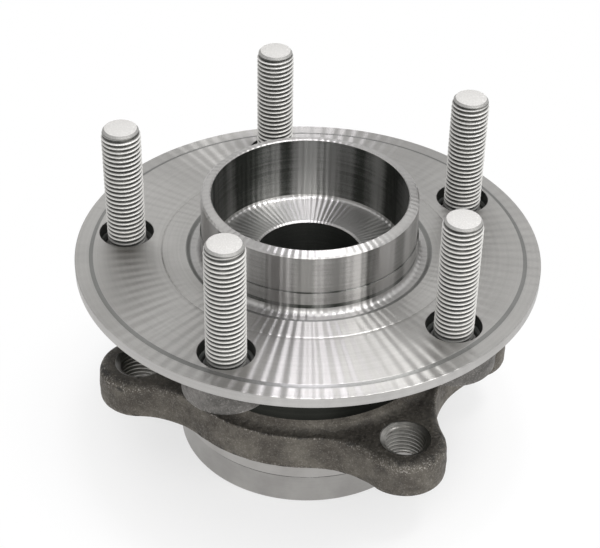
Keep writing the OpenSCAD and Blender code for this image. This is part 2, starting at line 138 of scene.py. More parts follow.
def rounded(corners):
    """A section's points (r, z) from its corners (r, z, radius), 15 degrees apart on a round."""
    points = []
    for n, corner in enumerate(corners):
        here = Vector(corner[:2])
        if len(corner) == 2:
            points.append(tuple(here))
            continue
        before = (Vector(corners[n - 1][:2]) - here).normalized()
        after = (Vector(corners[(n + 1) % len(corners)][:2]) - here).normalized()
        half = before.angle(after) / 2
        centre = here + (before + after).normalized() * corner[2] / math.sin(half)
        start = here + before * corner[2] / math.tan(half) - centre
        sweep = start.angle_signed(here + after * corner[2] / math.tan(half) - centre)
        count = max(2, math.ceil(abs(math.degrees(sweep)) / 15))
        for i in range(count + 1):
            points.append(tuple(centre + Matrix.Rotation(-sweep * i / count, 2) @ start))
    return points


def turned(bm, count, *parts, at=(0, 0)):
    """Turns a chain of sections, each with its finish, into loops joined by quads."""
    loops = []
    for finish, corners in parts:
        for r, z in rounded(corners)[bool(loops):]:
            loops.append(loop(bm, circle(r, count, at), z))
            if len(loops) > 1:
                skin(bm, loops[-2], loops[-1], finish)
    return loops


def flat_fill(bm, loops, keep, finish=0, spots=(), height=None):
    """Triangles between loops of vertices, through loose spots at their own heights."""
    rims = [v for ring in loops for v in ring]
    edges, first = [], 0
    for ring in loops:
        edges += [(first + i, first + (i + 1) % len(ring)) for i in range(len(ring))]
        first += len(ring)
    plan = [Vector(v.co[:2]) for v in rims] + [Vector(s) for s in spots]
    corners = rims + [bm.verts.new((s[0], s[1], height(*s))) for s in spots]
    points, _, faces, origins, _, _ = delaunay_2d_cdt(plan, edges, [], 1, 1e-6)
    for face in faces:
        middle = sum((points[i] for i in face), Vector((0, 0))) / len(face)
        if keep(*middle):
            bm.faces.new([corners[origins[i][0]] for i in face]).material_index = finish
    for v in corners[len(rims):]:
        if not v.link_faces:
            bm.verts.remove(v)


def finish_piece(name, bm, body, nodes, finishes, sharp=32):
    """Scales the mesh to metres, shades it, ties it to its body and hides the carried-over nodes it stands
    for.
    """
    bmesh.ops.recalc_face_normals(bm, faces=bm.faces)
    for face in bm.faces:
        face.smooth = True
    for edge in bm.edges:
        edge.smooth = edge.is_manifold and edge.calc_face_angle() < math.radians(sharp)
    bmesh.ops.scale(bm, vec=(mm, mm, mm), verts=bm.verts)
    mesh = bpy.data.meshes.new(name)
    bm.to_mesh(mesh)
    bm.free()
    for finish in finishes:
        mesh.materials.append(finish)
    piece = bpy.data.objects.new(name, mesh)
    bpy.context.collection.objects.link(piece)
    shading = piece.modifiers.new("even shading", "WEIGHTED_NORMAL")
    shading.keep_sharp = True
    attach(piece, body)
    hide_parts(*nodes)
    return piece


def add(tree, kind, inputs=None, **settings):
    """Adds a shader node, sets it, and links or fills its inputs."""
    made = tree.nodes.new("ShaderNode" + kind)
    for name, value in settings.items():
        setattr(made, name, value)
    for socket, value in (inputs or {}).items():
        target = made.inputs[socket]
        if isinstance(value, bpy.types.NodeSocket):
            tree.links.new(value, target)
        else:
            target.default_value = value
    return made


def calc(tree, operation, *values):
    return add(tree, "Math", dict(enumerate(values)), operation=operation).outputs[0]


def ramp(tree, value, low, high, start=0.0, end=1.0):
    """Maps a value from low..high to start..end, smoothly."""
    inputs = {"Value": value, "From Min": low, "From Max": high, "To Min": start, "To Max": end}
    return add(tree, "MapRange", inputs, interpolation_type="SMOOTHSTEP").outputs["Result"]


def blend(tree, amount, first, second):
    """Mixes two colours."""
    made = add(tree, "Mix", data_type="RGBA")
    for socket, value in (("Factor_Float", amount), ("A_Color", first), ("B_Color", second)):
        target = next(s for s in made.inputs if s.identifier == socket)
        if isinstance(value, bpy.types.NodeSocket):
            tree.links.new(value, target)
        else:
            target.default_value = (*value, 1.0) if isinstance(value, tuple) else value
    return next(s for s in made.outputs if s.identifier == "Result_Color")


def new_group(name, inputs, outputs):
    """An empty effect group with float inputs, which can carry a default value."""
    group = bpy.data.node_groups.new(name, "ShaderNodeTree")
    for label, value in inputs.items():
        socket = group.interface.new_socket(name=label, in_out="INPUT", socket_type="NodeSocketFloat")
        socket.default_value = value
    for label in outputs:
        group.interface.new_socket(name=label, in_out="OUTPUT", socket_type="NodeSocketFloat")
    return group, group.nodes.new("NodeGroupInput"), group.nodes.new("NodeGroupOutput")


def place(tree, group, **values):
    made = tree.nodes.new("ShaderNodeGroup")
    made.node_tree = group
    for label, value in values.items():
        made.inputs[label.replace("_", " ")].default_value = value
    return made


def object_mm(tree):
    """The place on the piece, in millimetres."""
    where = add(tree, "TexCoord").outputs["Object"]
    return add(tree, "VectorMath", {0: where, "Scale": 1 / mm}, operation="SCALE").outputs[0]


def from_axis(tree, where):
    """The vector from the axis across to a place, and its length."""
    across = add(tree, "VectorMath", {0: where, 1: (1, 1, 0)}, operation="MULTIPLY").outputs[0]
    return across, add(tree, "VectorMath", {0: across}, operation="LENGTH").outputs["Value"]


def weighed(tree, *parts):
    """The sum of values, each times its weight."""
    total = 0.0
    for value, weight in parts:
        total = calc(tree, "MULTIPLY_ADD", value, weight, total)
    return total


def lathe_marks():
    """Rings left by the tool's feed, its flutter and chatter across them, and broad light and dark stripes
    round the axis that are painted reflections.
    """
    group, given, put = new_group(
        "lathe marks",
        {"Ring scale": 0.9, "Flutter scale": 17.0, "Band scale": 4.0, "Chatter count": 95.0},
        ["Rings", "Fine", "Flutter", "Chatter", "Reflection bands"],
    )
    given = given.outputs
    where = object_mm(group)
    axes = add(group, "SeparateXYZ", {0: where}).outputs
    across, radius = from_axis(group, where)
    bearing = add(group, "VectorMath", {0: across}, operation="NORMALIZE").outputs[0]
    path = calc(group, "MULTIPLY_ADD", axes[2], 0.8, radius)
    drift = add(group, "CombineXYZ", {2: calc(group, "MULTIPLY", path, 0.02)}).outputs[0]

    def along(scale, detail, rough=0.5):
        """Noise that changes from ring to ring."""
        inputs = {"W": path, "Scale": scale, "Detail": detail, "Roughness": rough}
        return add(group, "TexNoise", inputs, noise_dimensions="1D").outputs["Fac"]

    def around(scale, rough, shift=None):
        """Noise that changes round the axis and runs straight across the rings."""
        spread = add(group, "VectorMath", {0: bearing, "Scale": scale}, operation="SCALE").outputs[0]
        if shift is not None:
            spread = add(group, "VectorMath", {0: spread, 1: shift}, operation="ADD").outputs[0]
        inputs = {"Vector": spread, "Scale": 1.0, "Detail": 1.0, "Roughness": rough}
        return add(group, "TexNoise", inputs).outputs["Fac"]

    flutter = around(given["Flutter scale"], 0.5, drift)
    turn = calc(group, "ARCTAN2", axes[1], axes[0])
    shake = weighed(group, (turn, given["Chatter count"]), (flutter, 1.2))
    marks = {
        "Rings": along(given["Ring scale"], 3.0, 0.65),
        "Fine": along(6.0, 2.0),
        "Flutter": flutter,
        "Chatter": calc(group, "MULTIPLY", calc(group, "SINE", shake), calc(group, "MULTIPLY", radius, 0.02)),
        "Reflection bands": around(given["Band scale"], 0.4),
    }
    for label, value in marks.items():
        group.links.new(value, put.inputs[label])
    return group


def clouds():
    """Soft patches and fine grain, for stains and uneven finishes."""
    group, given, put = new_group("clouds", {"Patch scale": 60.0, "Grain scale": 900.0}, ["Patches", "Grain"])
    where = add(group, "TexCoord").outputs["Object"]
    for kind, scale, detail in (("Patches", "Patch scale", 4.0), ("Grain", "Grain scale", 3.0)):
        inputs = {"Vector": where, "Scale": given.outputs[scale], "Detail": detail, "Roughness": 0.6}
        group.links.new(add(group, "TexNoise", inputs).outputs["Fac"], put.inputs[kind])
    return group


lathe_group = lathe_marks()
cloud_group = clouds()


def new_finish(name, **fixed):
    """A material with its Principled shader's plain sockets set."""
    made = bpy.data.materials.new(name)
    made.use_nodes = True
    shader = made.node_tree.nodes["Principled BSDF"]
    for label, value in fixed.items():
        shader.inputs[label.replace("_", " ")].default_value = value
    return made, made.node_tree, shader


def complete(tree, shader, colour, roughness, height, depth, grooved=False):
    """Feeds a shader its colour, roughness and relief, with grooves round the axis if it has them."""
    tree.links.new(colour, shader.inputs["Base Color"])
    if roughness is not None:
        tree.links.new(roughness, shader.inputs["Roughness"])
    bump = add(tree, "Bump", {"Height": height, "Distance": depth, "Strength": 1.0})
    tree.links.new(bump.outputs[0], shader.inputs["Normal"])
    if grooved:
        tangent = add(tree, "Tangent", direction_type="RADIAL", axis="Z")
        tree.links.new(tangent.outputs[0], shader.inputs["Tangent"])


def small_nicks(tree, grain, strength):
    """Dark nicks a millimetre or two across, on some of the cells of a pattern."""
    cells = add(tree, "TexVoronoi", {"Vector": add(tree, "TexCoord").outputs["Object"], "Scale": 60.0})
    edge = calc(tree, "MULTIPLY_ADD", grain, 0.05, cells.outputs["Distance"])
    picked = add(tree, "SeparateColor", {0: cells.outputs["Color"]}).outputs[0]
    spot = calc(tree, "MULTIPLY", ramp(tree, edge, 0.045, 0.06, 1.0, 0.0), ramp(tree, picked, 0.6, 0.65))
    return calc(tree, "MULTIPLY", spot, strength)


def turned_steel(
    name, dark, light, roughness, depth, scale=17.0, reflection_bands=0.0, grooves=0.95, chatter=0.0, count=95.0,
    nicks=0.0,
):
    """Bright lathe-turned steel: it spreads light across its rings, in fans."""
    made, tree, shader = new_finish(name, Metallic=1.0, Anisotropic=grooves, Anisotropic_Rotation=0.25)
    marks = place(tree, lathe_group, Flutter_scale=scale, Chatter_count=count).outputs
    stains = place(tree, cloud_group, Patch_scale=38.0, Grain_scale=2400.0).outputs
    tone = weighed(tree, (stains["Patches"], 0.45), (marks["Rings"], 0.25), (stains["Grain"], 0.3))
    # Broad light and dark stripes round the axis, added to the tone: painted reflections.
    if reflection_bands:
        tone = calc(tree, "ADD", tone, ramp(tree, marks["Reflection bands"], 0.33, 0.67, -0.5 * reflection_bands, 0.5 * reflection_bands))
    colour = blend(tree, ramp(tree, tone, 0.2, 0.8), dark, light)
    if nicks:
        colour = blend(tree, small_nicks(tree, stains["Grain"], nicks), colour, (0.03, 0.03, 0.028))
    polish = ramp(tree, marks["Fine"], 0.3, 0.7, roughness - 0.03, roughness + 0.04)
    polish = calc(tree, "ADD", polish, ramp(tree, stains["Grain"], 0.35, 0.65, -0.03, 0.03))
    relief = weighed(
        tree,
        (marks["Flutter"], 0.15),
        (marks["Rings"], 0.03),
        (stains["Grain"], 0.14),
        (marks["Chatter"], chatter),
    )
    complete(tree, shader, colour, polish, relief, depth, grooved=True)
    return made


def forged_skin(name, dark, light, wear_and_highlight_colour, top_shade=0.0):
    """Shot-blasted forging: pitted and dull, with dark specks of scale; paler on its edges, partly wear and
    partly a painted highlight; darker on faces that look up, a painted shade.
    """
    made, tree, shader = new_finish(name, Metallic=0.35)
    coarse = place(tree, cloud_group, Patch_scale=90.0, Grain_scale=700.0).outputs
    pits = add(tree, "TexVoronoi", {"Vector": add(tree, "TexCoord").outputs["Object"], "Scale": 620.0})
    tone = blend(tree, ramp(tree, coarse["Patches"], 0.3, 0.7), dark, light)
    specks = place(tree, cloud_group, Patch_scale=300.0, Grain_scale=2000.0).outputs
    # Paler specks, most of them on convex edges: wear, and a painted edge highlight.
    edge = ramp(tree, add(tree, "NewGeometry").outputs["Pointiness"], 0.503, 0.54)
    wear_and_edge_highlight = ramp(tree, specks["Grain"], 0.52, 0.66)
    wear_and_edge_highlight = calc(tree, "MULTIPLY", wear_and_edge_highlight, ramp(tree, edge, 0.0, 1.0, 0.25, 1.0))
    scaled = ramp(tree, specks["Patches"], 0.5, 0.38)
    scaled = calc(tree, "MULTIPLY", scaled, ramp(tree, edge, 0.0, 1.0, 0.2, 0.9))
    tone = blend(tree, wear_and_edge_highlight, tone, wear_and_highlight_colour)
    tone = blend(tree, scaled, tone, (0.015, 0.014, 0.012))
    # Faces that look up are darkened, most where the grain is low: painted shade.
    facing = add(tree, "SeparateXYZ", {0: add(tree, "TexCoord").outputs["Normal"]}).outputs[2]
    top_shade_mask = ramp(tree, facing, 0.5, 0.95, 0.0, top_shade)
    painted_top_shade = calc(tree, "MULTIPLY", top_shade_mask, ramp(tree, coarse["Grain"], 0.35, 0.65, 1.0, 0.5))
    tone = blend(tree, painted_top_shade, tone, (0.02, 0.019, 0.017))
    relief = calc(tree, "ADD", coarse["Grain"], ramp(tree, pits.outputs["Distance"], 0.0, 0.5, 0.0, 0.5))
    relief = calc(tree, "MULTIPLY_ADD", coarse["Patches"], 1.5, relief)
    complete(tree, shader, tone, ramp(tree, coarse["Grain"], 0.3, 0.7, 0.5, 0.78), relief, 3.0e-4)
    return made


def ground_steel(name, dark, light, roughness):
    """Ground and lapped steel with hardly any marks left."""
    made, tree, shader = new_finish(name, Metallic=1.0, Anisotropic=0.4, Anisotropic_Rotation=0.25)
    fine = place(tree, lathe_group, Ring_scale=2.0).outputs["Fine"]
    stains = place(tree, cloud_group, Patch_scale=70.0).outputs
    tone = weighed(tree, (stains["Patches"], 1.0), (fine, 0.5))
    colour = blend(tree, ramp(tree, tone, 0.4, 1.1), dark, light)
    polish = ramp(tree, fine, 0.3, 0.7, roughness, roughness + 0.08)
    complete(tree, shader, colour, polish, fine, 1.5e-6, grooved=True)
    return made


bright_face = turned_steel(
    "turned flange", (0.4, 0.392, 0.379), (0.55, 0.54, 0.522), 0.35, 1.0e-4,
    chatter=0.3, count=104.0, nicks=0.8,
)
# The cup's inner wall, the pilot's step and the strip above the fillet are the same turned steel painted
# dark: painted shade.
shaded_cup_paint = turned_steel(
    "turned cup", (0.045, 0.048, 0.043), (0.3, 0.3, 0.29), 0.36, 0.5e-4, reflection_bands=0.6, chatter=0.6
)
# The pilot's outer wall is turned steel painted darker than the flange face, with stripes round the axis:
# painted shade and painted reflections.
pilot_reflection_paint = turned_steel(
    "turned pilot", (0.22, 0.217, 0.208), (0.44, 0.43, 0.42), 0.36, 0.5e-4, reflection_bands=0.8, chatter=0.45
)
cup_base = turned_steel(
    "turned cup floor", (0.5, 0.492, 0.48), (0.62, 0.612, 0.6), 0.34, 1.0e-4, 45.0, chatter=0.45
)
fillet_skin = turned_steel(
    "burnished fillet", (0.37, 0.365, 0.355), (0.52, 0.51, 0.5), 0.38, 1.0e-4, 30.0, grooves=0.8, chatter=0.5
)
# Dark steel for the relief's lip, the slope round the flange face and the line on the spigot: painted shade.
shaded_step_paint = turned_steel("shaded step", (0.2, 0.2, 0.193), (0.31, 0.31, 0.3), 0.36, 2.0e-5, grooves=0.9)
rim_skin = turned_steel(
    "turned rim", (0.42, 0.41, 0.40), (0.58, 0.57, 0.555), 0.40, 1.0e-4, grooves=0.8, chatter=0.5
)
hub_back = forged_skin("forged hub back", (0.08, 0.076, 0.07), (0.2, 0.19, 0.178), (0.45, 0.43, 0.41))
raceway = ground_steel("ground raceway", (0.42, 0.42, 0.42), (0.55, 0.55, 0.56), 0.22)
# Dark steel for the splined bore and the recesses round the studs: painted shade.
shaded_bore_paint = turned_steel("dark bore", (0.075, 0.08, 0.074), (0.18, 0.184, 0.172), 0.5, 5.0e-5, grooves=0.3)
hub_finishes = [
    bright_face, shaded_cup_paint, pilot_reflection_paint, hub_back, raceway,
    shaded_bore_paint, cup_base, fillet_skin, shaded_step_paint, rim_skin,
]
FACE, CUP_SHADE, WALL_REFLECTIONS, FORGED, GROUND, BORE_SHADE, BASE, FILLET, STEP_SHADE, RIM = range(10)

hub = bmesh.new()


def tooth_radius(share):
    """Radius of the spline's section over one tooth pitch, 0 at the tooth's middle."""
    rise = abs(share - 0.5)
    return tooth_tip_r + (tooth_root_r - tooth_tip_r) * min(1, max(0, (0.28 - rise) / 0.1))


spline = []
for tooth in range(tooth_count):
    for share in (0, 0.11, 0.22, 0.32, 0.41, 0.5, 0.59, 0.68, 0.78, 0.89):
        angle = (tooth + share) * math.tau / tooth_count
        spline.append((tooth_radius(share), angle))


def spline_loop(radius_of, height_of):
    return [
        hub.verts.new((radius_of(r) * math.cos(a), radius_of(r) * math.sin(a), height_of(r)))
        for r, a in spline
    ]


bore_loops = [
    spline_loop(lambda r: bore_lip_r + 0.15, lambda r: cup_floor),
    spline_loop(lambda r: bore_lip_r, lambda r: cup_floor - 0.05),
    spline_loop(lambda r: plain_bore_r, lambda r: cup_floor - bore_lip_r + plain_bore_r),
    spline_loop(lambda r: plain_bore_r, lambda r: plain_bore_end),
    spline_loop(lambda r: r, lambda r: plain_bore_end - plain_bore_r + r),
    spline_loop(lambda r: r, lambda r: hub_end + collar_mouth_r - r),
    spline_loop(lambda r: collar_mouth_r, lambda r: hub_end),
]
for first, second, finish in zip(bore_loops, bore_loops[1:], (RIM, RIM, BORE_SHADE, BORE_SHADE, BORE_SHADE, BORE_SHADE)):
    skin(hub, first, second, finish)

cup = turned(
    hub,
    round_count,
    (BASE, [(floor_ring_r, cup_floor), (cup_r, cup_floor, cup_foot_r), (cup_r, cup_floor + cup_foot)]),
    (CUP_SHADE, [(cup_r, cup_floor + cup_foot), (cup_r, cup_rim - 0.45)]),
    (RIM, [
        (cup_r, cup_rim - 0.45),
        (cup_r + 0.35, cup_rim - 0.1, 0.15),
        (pilot_r - 0.5, pilot_top + 0.13, 0.2),
        (pilot_r, pilot_top - 0.4),
    ]),
    (WALL_REFLECTIONS, [(pilot_r, pilot_top - 0.4), (pilot_r, disc_pilot_top + 0.1)]),
    (CUP_SHADE, [
        (pilot_r, disc_pilot_top + 0.1),
        (pilot_r + 0.05, disc_pilot_top),
        (disc_pilot_r - 0.1, disc_pilot_top),
        (disc_pilot_r, disc_pilot_top - 0.1),
    ]),
    (WALL_REFLECTIONS, [(disc_pilot_r, disc_pilot_top - 0.1), (disc_pilot_r, disc_pilot_foot)]),
    (CUP_SHADE, [(disc_pilot_r, disc_pilot_foot), (disc_pilot_r, fillet_top)]),
    (FILLET, [(disc_pilot_r, fillet_top), (disc_pilot_r, relief_floor, fillet_r), (relief_r, relief_floor)]),
    (STEP_SHADE, [
        (relief_r, relief_floor),
        (relief_r + 0.3, relief_floor, 0.2),
        (face_start_r - 0.3, 0, 0.4),
        (face_start_r, 0),
    ]),
    (FACE, [
        (face_start_r, 0),
        (feed_line_r - feed_line_half, 0),
        (feed_line_r, -feed_line_depth),
        (feed_line_r + feed_line_half, 0),
        (ringed_r, 0),
    ]),
)
rim = turned(
    hub,
    round_count,
    (FACE, [(face_edge_r, 0), (face_edge_r + 0.25, -0.04)]),
    (STEP_SHADE, [(face_edge_r + 0.25, -0.04), (band_r, -band_drop)]),
    (FACE, [(band_r, -band_drop), (flange_r, -band_drop, 0.2), (flange_r, -band_drop - 0.5)]),
    (RIM, [
        (flange_r, -band_drop - 0.5),
        (flange_r, rim_bottom, 0.25),
        (back_r, back_rim),
    ]),
)
flat_fill(hub, [bore_loops[0], cup[0]], lambda x, y: math.hypot(x, y) > bore_lip_r + 0.15, BASE)


def back_height(distance):
    """The forged back's height outside the bosses, at a distance from the axis."""
    if distance < back_root_r:
        share = max(0, (distance - back_root_r + back_step) / back_step)
        return machined_back + (back_root - machined_back) * share
    return back_root + (back_rim - back_root) * (distance - back_root_r) / (back_r - back_root_r)


stud_places = [
    Vector((stud_circle_r, 0)) @ Matrix.Rotation(-math.radians(stud_start + 360 / stud_count * n), 2)
    for n in range(stud_count)
]


def back_surface(x, y):
    """The forged back, with a fillet round each boss and a slight unevenness."""
    distance = math.hypot(x, y)
    fade = min(1, max(0, (back_r - distance) / 0.8))
    foot = min((Vector((x, y)) - p).length for p in stud_places) - boss_r
    fillet = 0
    if foot < boss_foot_r:
        fillet = boss_foot_r - math.sqrt(max(0, boss_foot_r**2 - (boss_foot_r - foot) ** 2))
    unevenness = 0.12 * noise.noise(Vector((x, y, 3)) * 0.35) + 0.05 * noise.noise(Vector((x, y, 9)) * 1.1)
    return back_height(distance) + (unevenness - fillet) * fade


recess_edges, boss_feet = [], []
for spot in stud_places:
    recess = turned(
        hub,
        recess_count,
        (RIM, [(recess_r + 0.12, 0), (recess_r, -0.15)]),
        (BORE_SHADE, [
            (recess_r, -0.15),
            (recess_r, recess_floor, 0.4),
            (knurl_hole_r + 0.2, recess_floor),
            (knurl_hole_r, recess_floor - 0.2),
            (knurl_hole_r, boss_face + 0.3),
            (knurl_hole_r + 0.3, boss_face, 0.1),
        ]),
        (FORGED, [(knurl_hole_r + 0.35, boss_face), (boss_r, boss_face, 0.9), (boss_r, boss_face + 1.2)]),
        at=spot,
    )
    recess_edges.append(recess[0])
    feet = circle(boss_r + 0.03, recess_count, spot)
    foot = loop(hub, feet, [back_surface(x, y) for x, y in feet])
    skin(hub, recess[-1], foot, FORGED)
    boss_feet.append(foot)


def clear_of_studs(x, y, gap):
    return all((Vector((x, y)) - p).length > gap for p in stud_places)


flat_fill(
    hub,
    [cup[-1], rim[0], *recess_edges],
    lambda x, y: math.hypot(x, y) > ringed_r and clear_of_studs(x, y, recess_r + 0.11),
    FACE,
)


def ball_groove(centre_r, height, start, end):
    """Points of a raceway's groove round its centre, from one angle to another in degrees."""
    angles = [math.radians(a) for a in range(start, end, 6)]
    return [(centre_r + groove_r * math.cos(a), height + groove_r * math.sin(a)) for a in angles]


stem = turned(hub, stem_count, (GROUND, [
    (machined_back_r, machined_back),
    (seal_land_r, machined_back, 1.5),
    (seal_land_r, seal_land_end),
    (low_shoulder_r, seal_land_end - 1.004, 0.3),
    (low_shoulder_r, low_shoulder_end),
    *ball_groove(inner_groove_r, rows_middle + inner_groove_gap, 115, 198),
    (high_shoulder_r, rows_middle + high_shoulder_gap),
    (high_shoulder_r, ring_seat_top, 0.2),
    (ring_seat_r, ring_seat_top, 0.6),
    (ring_seat_r, collar_face),
    (collar_r, collar_face, 0.2),
    (collar_r, hub_end, 1.6),
    (collar_flat_r, hub_end),
]))
flat_fill(hub, [stem[-1], bore_loops[-1]], lambda x, y: math.hypot(x, y) > collar_mouth_r - 0.1, GROUND)
random.seed(7)
back_spacing = 1.25
scatter = []
for row in range(-66, 67):
    for column in range(-58, 59):
        x = (column + row % 2 / 2) * back_spacing + random.uniform(-0.2, 0.2)
        y = row * back_spacing * 0.866 + random.uniform(-0.2, 0.2)
        if machined_back_r + 0.7 < math.hypot(x, y) < back_r - 0.6 and clear_of_studs(x, y, boss_r + 0.5):
            scatter.append((x, y))
for spot in stud_places:
    for gap in (0.25, 0.6, 1.1, 1.7):
        scatter += [
            (x, y)
            for x, y in circle(boss_r + gap, 90, spot)
            if machined_back_r + 0.4 < math.hypot(x, y) < back_r - 0.3
        ]
flat_fill(
    hub,
    [stem[0], rim[-1], *boss_feet],
    lambda x, y: math.hypot(x, y) > machined_back_r - 0.05 and clear_of_studs(x, y, boss_r + 0.02),
    FORGED,
    scatter,
    back_surface,
)
finish_piece("turned_hub", hub, "wheel_side", ["hub"], hub_finishes)

# Five studs of heat-treated steel with rolled threads, under a matt, pale
# zinc-flake coating. Each is pressed into the flange up to its head, and a
# knurled collar keeps it from turning.
stud_r = 6
stud_tip = 37.7
thread_pitch = 1.5
thread_depth = 0.86
thread_foot = -3.8
thread_top = 36.6
head_r = 8.5
head_bottom = -16.2
tip_r = 5.4
tip_edge_r = 4.85
tip_dome_r = 2.4
stud_columns = 48
thread_steps = 10
stud_turn = 1.7
neck_top = -4.2
knurl_top = -5.6
knurl_end = -12.4
knurl_low_r = 6.86
knurl_high_r = 7.1
knurl_edge_r = 6.9
head_top = -13.02


def thread(bm, shape, low, high, columns, steps, finish=0):
    """A threaded wall. shape(phase, z) gives its radius, phase 0 at the crest."""
    ends = [
        loop(bm, circle(shape(0.5, low), columns), low),
        loop(bm, circle(shape(0.5, high), columns), high),
    ]
    rows = {}
    for j in range(int(low / thread_pitch * steps) - 2 * steps, int(high / thread_pitch * steps) + 2 * steps):
        row = []
        for i in range(columns + 1):
            column, level = (i, j) if i < columns else (0, j + steps)
            z = thread_pitch * (level / steps + column / columns)
            if z <= low:
                row.append(ends[0][column])
            elif z >= high:
                row.append(ends[1][column])
            else:
                if (column, level) not in rows:
                    a = math.tau * column / columns
                    r = shape(level % steps / steps, z)
                    rows[column, level] = bm.verts.new((r * math.cos(a), r * math.sin(a), z))
                row.append(rows[column, level])
        if j > int(low / thread_pitch * steps) - 2 * steps:
            for i in range(columns):
                corners = [before[i], before[i + 1], row[i + 1], row[i]]
                corners = [v for n, v in enumerate(corners) if v is not corners[n - 1]]
                if len(set(corners)) == len(corners) > 2:
                    bm.faces.new(corners).material_index = finish
        before = row
    return ends


def groove_depth(phase):
    """Depth of the 60 degree thread, from 0 on its flat crest to 1 at its round root."""
    rise = abs((phase + 0.5) % 1 - 0.5)
    return min(1, max(0, (rise - 0.07) / 0.33))


def stud_shape(phase, z):
    run_in = min(1, max(0, (thread_top - z) / 0.5))
    run_out = min(1, max(0, (z - thread_foot) / 1.5))
    taper = 0.5 * (1 - min(1, max(0, (thread_top - z) / 1.5)))
    return stud_r - 0.06 - thread_depth * groove_depth(phase) * min(run_in, run_out) - taper


def stud_coat():
    """Pale flake coating, with painted shade in the roots of the thread and on the part below the flange
    face.
    """
    made, tree, shader = new_finish("flake coating", Metallic=0.4)
    stains = place(tree, cloud_group, Patch_scale=160.0, Grain_scale=2600.0).outputs
    where = object_mm(tree)
    _, radius = from_axis(tree, where)
    height = add(tree, "SeparateXYZ", {0: where}).outputs[2]
    # The roots of the thread and the part below the flange face are painted dark, a painted shade; the tip
    # and its bevel are left mostly out of it.
    crest = ramp(tree, radius, stud_r - 0.68, stud_r - 0.15)
    bevel = ramp(tree, height, thread_top - 0.2, thread_top + 0.1, 0.0, 0.35)
    tip = ramp(tree, height, stud_tip - 0.4, stud_tip - 0.25, 0.0, 0.8)
    crest = calc(tree, "MAXIMUM", crest, calc(tree, "MAXIMUM", bevel, tip))
    crest = calc(tree, "MULTIPLY", crest, ramp(tree, height, -1.6, 0.6, 0.25, 1.0))
    tone = blend(tree, crest, (0.07, 0.07, 0.065), (0.69, 0.68, 0.655))
    worn = ramp(tree, stains["Grain"], 0.45, 0.75, 0.0, 0.55)
    tone = blend(tree, calc(tree, "MULTIPLY", worn, crest), tone, (0.92, 0.91, 0.88))
    tone = blend(tree, ramp(tree, stains["Patches"], 0.45, 0.75, 0.0, 0.3), tone, (0.5, 0.49, 0.46))
    complete(tree, shader, tone, ramp(tree, stains["Grain"], 0.3, 0.7, 0.42, 0.62), stains["Grain"], 6.0e-5)
    return made


flake_coating = stud_coat()
for n, spot in enumerate(stud_places):
    stud = bmesh.new()
    foot, top = thread(stud, stud_shape, thread_foot, thread_top, stud_columns, thread_steps)
    tip = turned(stud, stud_columns, (0, [
        (stud_shape(0.5, thread_top), thread_top + 0.1),
        (tip_r, thread_top + 0.15),
        (tip_edge_r, stud_tip - 0.25, 0.15),
        (tip_dome_r, stud_tip - 0.08, 6),
        (0.3, stud_tip),
    ]))
    skin(stud, top, tip[0])
    stud.faces.new(tip[-1])
    neck = turned(stud, stud_columns, (0, [(stud_r - 0.06, neck_top), (stud_r - 0.06, neck_top - 0.4)]))
    skin(stud, foot, neck[0])
    teeth = [loop(stud, circle(knurl_edge_r, stud_columns), neck_top - 1)]
    knurl = (
        (knurl_top, knurl_low_r, knurl_high_r),
        (knurl_end, knurl_low_r, knurl_high_r),
        (knurl_end - 0.5, knurl_edge_r, knurl_edge_r + 0.1),
    )
    for z, low, high in knurl:
        ridged = []
        for i in range(stud_columns):
            a, r = math.tau * i / stud_columns, high if i % 2 else low
            ridged.append((r * math.cos(a), r * math.sin(a)))
        teeth.append(loop(stud, ridged, z))
    for first, second in zip([neck[-1], *teeth], teeth):
        skin(stud, first, second)
    head = turned(stud, stud_columns, (0, [
        (head_r - 0.3, head_top),
        (head_r, head_top - 0.28, 0.2),
        (head_r, head_bottom, 0.7),
        (3, head_bottom),
        (2.6, head_bottom + 0.25),
        (0.3, head_bottom + 0.3),
    ]))
    skin(stud, teeth[-1], head[0])
    stud.faces.new(head[-1])
    bmesh.ops.rotate(stud, cent=(0, 0, 0), matrix=Matrix.Rotation(stud_turn * n, 3, "Z"), verts=stud.verts)
    piece = finish_piece(
        f"threaded_stud_{n + 1}",
        stud,
        "wheel_side",
        [f"wheel_stud_{n + 1}"],
        [flake_coating],
        sharp=40,
    )
    piece.location = (spot.x * mm, spot.y * mm, 0)

# The fixed ring is a steel forging. Its web and four ears keep the rough forged
# skin, its neck, seats and tail are turned, the spigot is ground to fit the
# knuckle, and each ear is drilled and tapped for a bolt.
ring_top = -15
ring_end = -69.8
neck_r = 41.5
ear_top = -38.7
knuckle_face = -51
ear_x, ear_y, ear_r = 45, 30, 13.1
web_r = 46.3
blend_r = 27
waist_x = 46.9
neck_fillet = 3.5
top_edge_r = 3.2
bottom_edge_r = 0.8
parting = -46.5
ear_hole_r = 6.2
ear_start_r = 6.52
ear_thread_end = 0.9
ear_root_r = 6.95
ear_mouth_r = 7.65
ear_exit_r = 7
spigot_r = 41.7
spigot_end = -58.8
tail_r = 41.2
seal_seat_r = 38.5
seal_seat_end = -19.6
inboard_seat = ring_end + 8.3
inner_wall_r = 37.064
inner_wall_gap = 14.15
outer_groove_r = pitch_r - 0.136
outer_groove_gap = 11.898
land_r = 33.204
land_gap = 5.74
ear_columns = 60


def meeting(gap, r1, r2):
    """Where two circles a gap apart meet: along the line between them, and off it."""
    along = (gap**2 + r1**2 - r2**2) / (2 * gap)
    return along, math.sqrt(r1**2 - along**2)


